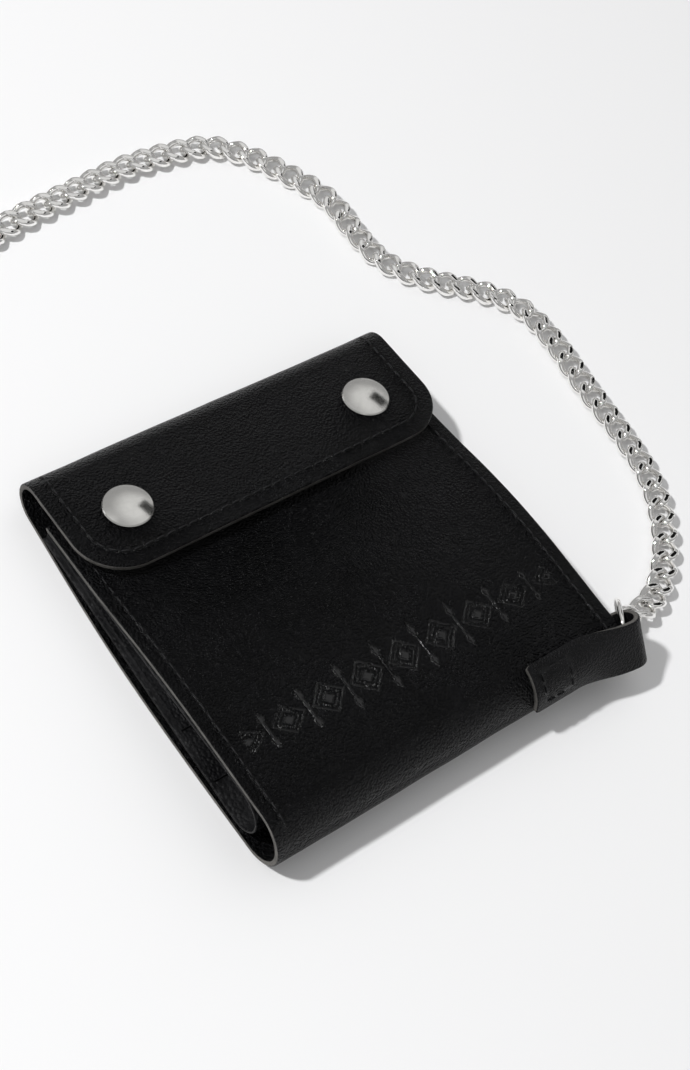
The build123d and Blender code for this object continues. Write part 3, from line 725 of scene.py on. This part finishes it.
back_face = np.array([0, 0, LINER_LOW + LINING + 2 * POCKET_LEAF])
back_stitches = stitches("pocket_stitches_back", pocket_seams(
    back_face, Y_AXIS, (0, 0, 1), BACK_POCKET + POCKET_STEP + 1, LINER_END - 2.5))
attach(back_stitches, "back")
front_face = COVER3 - OUT3 * (LINER_DEPTH + LINING + 2 * POCKET_LEAF)
front_stitches = stitches("pocket_stitches_front", pocket_seams(
    front_face, ALONG3, -OUT3, FRONT_POCKET + POCKET_STEP + 1, COVER_LENGTH - 4.5))
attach(front_stitches, "cover")


# ---- seams of the shell ------------------------------------------------------
def shell_line(places):
    """Points and outward directions on the shell's skin at (x, station) places."""
    points, normals = [], []
    for x, s in places:
        place, normal = unroll(SHELL_PATH, s)
        lifted = place + normal * float(crown(np.array(s)))
        points.append((float(settled(x, s)), *lifted))
        normals.append((0, *normal))
    return points, normals


SEAM_TURN = radians(128)                # angle on the near fold where the side seams end
seam_end = COVER_LENGTH + (SEAM_TURN - TOP) * NEAR_RADIUS
side_rows = [shell_line([(side * (HALF - SEAM_INSET), s) for s in np.linspace(12, seam_end, 90)])
             for side in (-1, 1)]
side_stitches = stitches("front_side_stitches", side_rows)
bend(side_stitches, "cover", "spine")
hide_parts("front_side_seam_threads")

seam_half = HALF - FLAP_SEAM_INSET
seam_corner = FLAP_CORNER - FLAP_SEAM_INSET
seam_front = SHELL_LENGTH - FLAP_SEAM_INSET
left_places = [(-seam_half, s) for s in np.linspace(flap_begin - 5.5, seam_front - seam_corner, 20)]
left_places += [(-seam_half + seam_corner * (1 - cos(a)), seam_front - seam_corner * (1 - sin(a)))
                for a in np.linspace(0, pi / 2, 12)[1:]]
straight_half = seam_half - seam_corner
front_places = [(x, seam_front) for x in np.linspace(-straight_half, straight_half, 40)[1:]]
right_places = [(-x, s) for x, s in reversed(left_places)]
flap_stitches = stitches("flap_stitches", [shell_line(left_places + front_places + right_places)])
bend(flap_stitches, "far_fold", "flap")
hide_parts("flap_seam_thread")

# ---- chain tab: a strap on the near fold, round a loop and back inside the fold ----
TAB_ANGLE = radians(137.0)
TAB_NORMAL = np.array([0, cos(TAB_ANGLE), sin(TAB_ANGLE)])
TAB_ACROSS = np.array([0, sin(TAB_ANGLE), -cos(TAB_ANGLE)])
TAB_HALF = 7.2                                  # half its width at the sewn end
LOOP_HALF = 6.3                                 # and in the loop
INNER_HALF = 3.9                                # and inside the fold
TAB_START = 22.9
TAB_REACH = 60.2
OUTER_SKIN = NEAR_RADIUS + 0.06 + LEATHER      # outer leg's outer face from the fold's centre
LOOP_SKIN = OUTER_SKIN + 0.2
INNER_FACE = 1.8                                # inner leg's near face, at the loop
LOOP_DROP = 2.8                                 # the loop hangs this much lower than the sewn end
BEND_RADIUS = (LOOP_SKIN - INNER_FACE) / 2      # of the loop's outer face
BEND_X = TAB_REACH - BEND_RADIUS
SEWN_END = 37.0                                 # the outer leg leaves the fold here
FLAT_FROM = 55.0                                # and is flat across its width from here
NARROWING = (36.0, 54.0)                        # it narrows between these
INNER_FREE = (36.0, 52.0)                       # the inner leg leaves the fold's inside between these
INNER_LEVEL = 52.2                              # and hangs lower from here on
INNER_START = 27.0
INSIDE_FOLD = NEAR_RADIUS - LEATHER - 0.05
BOX_X, BOX_HALF = 30.2, 4.3                     # middle and half size of the box stitch
END_ROUND = 0.9                                 # the sewn end's corners are cut back by this
LOOP_BEGIN = BEND_X - TAB_START                 # where the loop begins and ends, along the strap
LOOP_FINISH = LOOP_BEGIN + pi * BEND_RADIUS


def tab_frame(s):
    """Outer face's middle, outward direction and curvature of the strap at distance s along it."""
    centre = np.array([0, *NEAR])
    if s <= LOOP_BEGIN:
        x = TAB_START + s
        free = smooth_step(x, SEWN_END, FLAT_FROM)
        reach = OUTER_SKIN + (LOOP_SKIN - OUTER_SKIN) * smooth_step(x, SEWN_END, 57.5)
        sag = TAB_ACROSS * LOOP_DROP * smooth_step(x, SEWN_END, 57.0)
        return centre + X_AXIS * x + TAB_NORMAL * reach - sag, TAB_NORMAL, (1 - free) / OUTER_SKIN
    if s <= LOOP_FINISH:
        angle = (s - LOOP_BEGIN) / BEND_RADIUS
        normal = TAB_NORMAL * cos(angle) + X_AXIS * sin(angle)
        middle = centre + X_AXIS * BEND_X + TAB_NORMAL * (LOOP_SKIN - BEND_RADIUS) - TAB_ACROSS * LOOP_DROP
        return middle + normal * BEND_RADIUS, normal, 0.0
    x = BEND_X - (s - LOOP_FINISH)
    back_in = 1 - smooth_step(x, *INNER_FREE)
    reach = INNER_FACE + (INSIDE_FOLD - LEATHER - INNER_FACE) * back_in
    sag = TAB_ACROSS * LOOP_DROP * smooth_step(x, INNER_LEVEL, BEND_X)
    return centre + X_AXIS * x + TAB_NORMAL * reach - sag, -TAB_NORMAL, -back_in / (INSIDE_FOLD - LEATHER)


def tab_half(s):
    """Half the strap's width at distance s along it; the leg inside the fold is cut narrower."""
    inner = s - LOOP_FINISH
    if inner > 0:
        return LOOP_HALF + (INNER_HALF - LOOP_HALF) * float(smooth_step(inner, 0.0, BEND_X - INNER_LEVEL))
    return TAB_HALF + (LOOP_HALF - TAB_HALF) * float(smooth_step(TAB_START + s, *NARROWING))


def column_at(v, half):
    """Where a column of the mesh lies across a strap of that half width: its margins keep their size."""
    margin = 1.5
    if abs(v) > TAB_HALF - margin:
        return float(np.sign(v)) * max(half - (TAB_HALF - abs(v)), 0.0)
    return v * (half - margin) / (TAB_HALF - margin)


def build_tab():
    """The strap: one sheet from its sewn end, round the loop and back inside the fold."""
    length = LOOP_FINISH + BEND_X - INNER_START
    rows = edged(0, length, 0.9)
    columns = edged(-TAB_HALF, TAB_HALF, 0.7)
    top = np.zeros((len(rows), len(columns), 3))
    bottom = np.zeros_like(top)
    pressed = np.zeros(top.shape[:2])
    for i, s in enumerate(rows):
        middle, normal, bow = tab_frame(s)
        half = tab_half(s) - END_ROUND * exp(-s / 0.5)
        for j, column in enumerate(columns):
            v = column_at(column, half)
            edge = min(half - abs(v), s, length - s)
            pull = groove(max(abs(s + TAB_START - BOX_X), abs(v)) - BOX_HALF, 0.5)
            drop = float(edge_drop(np.array(max(edge, 0.0)), EDGE_RADIUS)) + 0.22 * pull
            soft = 0.08 * noise.noise(Vector((s / 5, v / 5, 2.2)))
            if abs(bow) > 1e-6:
                angle = bow * v
                lean = normal * cos(angle) + TAB_ACROSS * sin(angle)
                skin = middle + normal * (cos(angle) - 1) / bow + TAB_ACROSS * sin(angle) / bow
            else:
                lean, skin = normal, middle + TAB_ACROSS * v
            top[i, j] = skin + lean * (soft - drop)
            bottom[i, j] = skin - lean * (LEATHER - soft)
            pressed[i, j] = 0.6 * pull
    return cut_pieces(["chain_tab_strap"], top[:, ::-1], bottom[:, ::-1], [], [STRAP_SKIN, EDGE],
                      pressed[:, ::-1])[0]


# only the sewn end's upper edge lies past the crease; the strap is baked in place and turns with no body
tab = build_tab()
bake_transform(tab)
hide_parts("chain_tab")


def tab_point(x, v):
    """Place and outward direction on the sewn end's outer face."""
    angle = TAB_ANGLE - v / OUTER_SKIN
    normal = (0, cos(angle), sin(angle))
    return (x, NEAR[0] + OUTER_SKIN * normal[1], NEAR[1] + OUTER_SKIN * normal[2]), normal


corners = [(-1, -1), (1, -1), (1, 1), (-1, 1), (-1, -1)]
tab_rows = []
for (xa, va), (xb, vb) in zip(corners, corners[1:]):
    spots = [tab_point(BOX_X + BOX_HALF * (xa + (xb - xa) * t), BOX_HALF * (va + (vb - va) * t))
             for t in np.linspace(0, 1, 8)]
    tab_rows.append(([p for p, _ in spots], [n for _, n in spots]))
tab_stitches = stitches("tab_box_stitches", tab_rows)
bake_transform(tab_stitches)
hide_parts("tab_box_seam_thread")

# ---- chain: curb links along one smooth cord ---------------------------------
CHAIN_REST = 2.15                       # height of the links' middle when the chain lies flat
route = [
    (64.0, -46.5, 4.1), (70.2, -48.6, 3.3), (79.8, -45.8, 2.4), (88.6, -39.2), (96.4, -29.4), (102.4, -17.2),
    (104.4, -1.5), (105.0, 15.5), (107.2, 32.0), (106.0, 45.5), (97.6, 55.4), (86.2, 64.2), (77.6, 74.8),
    (76.6, 88.5), (77.6, 100.6), (71.8, 112.4), (65.2, 123.4), (56.4, 131.6), (43.2, 133.4), (28.0, 134.2),
    (12.0, 132.0), (-6.0, 129.8), (-22.5, 126.2), (-38.5, 118.6), (-55.0, 114.4), (-70.5, 119.6),
    (-78.5, 132.5), (-75.5, 147.5), (-63.5, 156.5), (-48.5, 156.5),
]


def cord_line(places):
    """The smooth line that a route's points pull on, read back as closely spaced points in millimetres."""
    curve = bpy.data.curves.new("route", "CURVE")
    curve.dimensions = "3D"
    curve.resolution_u = 24
    spline = curve.splines.new("NURBS")
    spline.points.add(len(places) - 1)
    for point, place in zip(spline.points, places):
        height = place[2] if len(place) == 3 else CHAIN_REST
        point.co = (place[0] * MM, place[1] * MM, height * MM, 1.0)
    spline.order_u = 3
    spline.use_endpoint_u = True
    holder = bpy.data.objects.new("route", curve)
    bpy.context.scene.collection.objects.link(holder)
    mesh = bpy.data.meshes.new_from_object(holder)
    line = np.array([v.co for v in mesh.vertices]) / MM
    bpy.data.objects.remove(holder)
    bpy.data.curves.remove(curve)
    bpy.data.meshes.remove(mesh)
    return line


PITCH = 5.67
WIRE = 1.9
LINK_LONG = 3.75                        # half the wire's middle line, along the chain
LINK_WIDE = 2.9                         # and across it
TWIST = radians(46)
SLACK = radians(7)                      # most that a link rolls from lying flat
FIRST_ROLL = radians(42)                # more at the jump ring, which holds the first link on edge
HALF_STEP = 2.5                         # a link's direction is taken over this much chain either side
FIRST_LINK = 2.1                        # its middle from the jump ring's wire
LAST_LINK = 1.1                         # its middle short of the swivel eye
FACET = 1.62                            # both faces of the chain are ground flat at this height
LINK_RINGS = 40
LINK_SIDES = 14


def link_points():
    """One twisted curb link about its own middle: X along the chain, Y across it, Z up, ground flat."""
    def middle(t):
        lean = TWIST * cos(t)
        return np.array([LINK_LONG * cos(t), LINK_WIDE * sin(t) * cos(lean), LINK_WIDE * sin(t) * sin(lean)])

    points = []
    for t in np.linspace(0, tau, LINK_RINGS + 1)[:-1]:
        ahead = unit(middle(t + 0.01) - middle(t - 0.01))
        side = unit(np.cross(ahead, (0, 0, 1)))
        up = np.cross(side, ahead)
        for a in np.linspace(0, tau, LINK_SIDES + 1)[:-1]:
            points.append(middle(t) + WIRE / 2 * (side * cos(a) + up * sin(a)))
    points = np.array(points)
    points[:, 2] = np.clip(points[:, 2], -FACET, FACET)
    return points


def build_chain(line):
    """Every link of the chain as one piece; each stands at its own place on the line, with a little slack."""
    reach = reaches(line)
    count = round((reach[-1] - FIRST_LINK - LAST_LINK) / PITCH)
    shape = link_points()
    links = []
    for k, at in enumerate(np.linspace(FIRST_LINK, reach[-1] - LAST_LINK, count + 1)):
        ahead = unit(along(line, reach, at + HALF_STEP) - along(line, reach, at - HALF_STEP))
        roll = SLACK * sin(0.53 * k) * sin(0.21 * k + 1.0) - FIRST_ROLL * exp(-k / 1.6)
        beside = unit(np.cross((0, 0, 1), ahead))
        up = np.cross(ahead, beside)
        tilted = beside * cos(roll) + up * sin(roll)
        raised = np.cross(ahead, tilted)
        links.append(along(line, reach, at) + shape[:, :1] * ahead + shape[:, 1:2] * tilted
                     + shape[:, 2:] * raised)
    faces = repeated(tube_faces(LINK_RINGS, LINK_SIDES, closed=True), len(shape), len(links))
    chain = piece_from("curb_chain", np.concatenate(links), faces, [CHAIN_NICKEL])
    chain.data.set_sharp_from_angle(angle=radians(34))
    return chain, reach[-1]


chain_line = cord_line(route)
chain, chain_length = build_chain(chain_line)
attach(chain, "back")
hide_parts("chain")

# ---- metal that stays as the CAD made it -------------------------------------
for metal, names in ((NICKEL, ("snap_caps", "snap_sockets", "snap_studs", "snap_posts")),
                     (CHAIN_NICKEL, ("jump_ring", "swivel_eye", "clasp_hook", "clasp_gate", "clasp_pin")),
                     (STEEL, ("clasp_spring",))):
    for name in names:
        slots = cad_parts[name].data.materials
        slots.clear()
        slots.append(metal)

# ---- floor, light and camera -------------------------------------------------
scene = bpy.context.scene
scene.view_settings.view_transform = "Standard"

floor_mesh = bpy.data.meshes.new("floor")
floor_mesh.from_pydata([(-3, -3, 0), (3, -3, 0), (3, 3, 0), (-3, 3, 0)], [], [(0, 1, 2, 3)])
floor = bpy.data.objects.new("floor", floor_mesh)
scene.collection.objects.link(floor)
paper = Nodes("pale_floor")
paper.set(Base_Color=(0.9, 0.9, 0.905, 1), Roughness=0.85, Specular_IOR_Level=0.1)
floor_mesh.materials.append(paper.material)

SKY_GLOW = Vector((0.48, 0.31, 0.82)).normalized()      # middle of the brighter patch of sky
SKY = 0.34                              # the sky's strength, and that of the patch
SKY_BRIGHT = 0.7

world = bpy.data.worlds.new("studio")
world.use_nodes = True
around = world.node_tree
facing = around.nodes.new("ShaderNodeTexCoord")
lobe = around.nodes.new("ShaderNodeVectorMath")
lobe.operation = "DOT_PRODUCT"
lobe.inputs[1].default_value = SKY_GLOW
glow = around.nodes.new("ShaderNodeMapRange")
glow.interpolation_type = "SMOOTHSTEP"
for key, number in (("From Min", cos(radians(42))), ("From Max", cos(radians(8))),
                    ("To Min", SKY), ("To Max", SKY_BRIGHT)):
    glow.inputs[key].default_value = number
around.links.new(facing.outputs["Generated"], lobe.inputs[0])
around.links.new(lobe.outputs["Value"], glow.inputs["Value"])
around.links.new(glow.outputs["Result"], around.nodes["Background"].inputs["Strength"])
around.nodes["Background"].inputs["Color"].default_value = (1.0, 1.0, 1.0, 1)
scene.world = world


def area_light(name, place, target, size, power):
    lamp = bpy.data.lights.new(name, "AREA")
    lamp.shape = "DISK"
    lamp.size = size
    lamp.energy = power
    holder = bpy.data.objects.new(name, lamp)
    holder.location = place
    holder.rotation_euler = (Vector(target) - Vector(place)).to_track_quat("-Z", "Y").to_euler()
    scene.collection.objects.link(holder)


area_light("key", place=(-1.0, 0.61, 1.45), target=(0.0, 0.0, 0.0), size=0.13, power=26.0)
area_light("fill", place=(-0.5, -0.6, 0.9), target=(0.0, 0.0, 0.0), size=0.8, power=0.7)


def dark_card(name, place, facing, width, height):
    """A black card that only reflections see, as a studio sets beside bright metal."""
    mesh = bpy.data.meshes.new(name)
    w, h = width / 2, height / 2
    mesh.from_pydata([(-w, -h, 0), (w, -h, 0), (w, h, 0), (-w, h, 0)], [], [(0, 1, 2, 3)])
    card = bpy.data.objects.new(name, mesh)
    card.location = place
    card.rotation_euler = (Vector(facing) - Vector(place)).to_track_quat("Z", "Y").to_euler()
    black = Nodes(name)
    black.set(Base_Color=(0.01, 0.01, 0.01, 1), Roughness=0.9, Specular_IOR_Level=0.0)
    mesh.materials.append(black.material)
    scene.collection.objects.link(card)
    card.visible_camera = card.visible_diffuse = card.visible_shadow = False


dark_card("black_card", place=(0.56, 0.2, 0.54), facing=(0.1, 0.0, 0.0), width=0.34, height=0.3)

AZIMUTH, ELEVATION, ROLL = radians(-57.15), radians(55.29), radians(25.14)
DISTANCE = 0.44305
TARGET = Vector((0.01632, 0.00818, 0.0))
SENSOR_HEIGHT = 36.0
FOCAL_LENGTH = 59.07
away = Vector((sin(AZIMUTH) * cos(ELEVATION), -cos(AZIMUTH) * cos(ELEVATION), sin(ELEVATION)))
level = Vector((cos(AZIMUTH), sin(AZIMUTH), 0))
upright = away.cross(level)
right = level * cos(ROLL) + upright * sin(ROLL)
above = upright * cos(ROLL) - level * sin(ROLL)
lens = bpy.data.cameras.new("camera")
lens.sensor_fit = "VERTICAL"
lens.sensor_height = SENSOR_HEIGHT
lens.lens = FOCAL_LENGTH
camera = bpy.data.objects.new("camera", lens)
camera.matrix_world = Matrix((right, above, away)).transposed().to_4x4()
camera.location = TARGET + away * DISTANCE
scene.collection.objects.link(camera)
scene.camera = camera
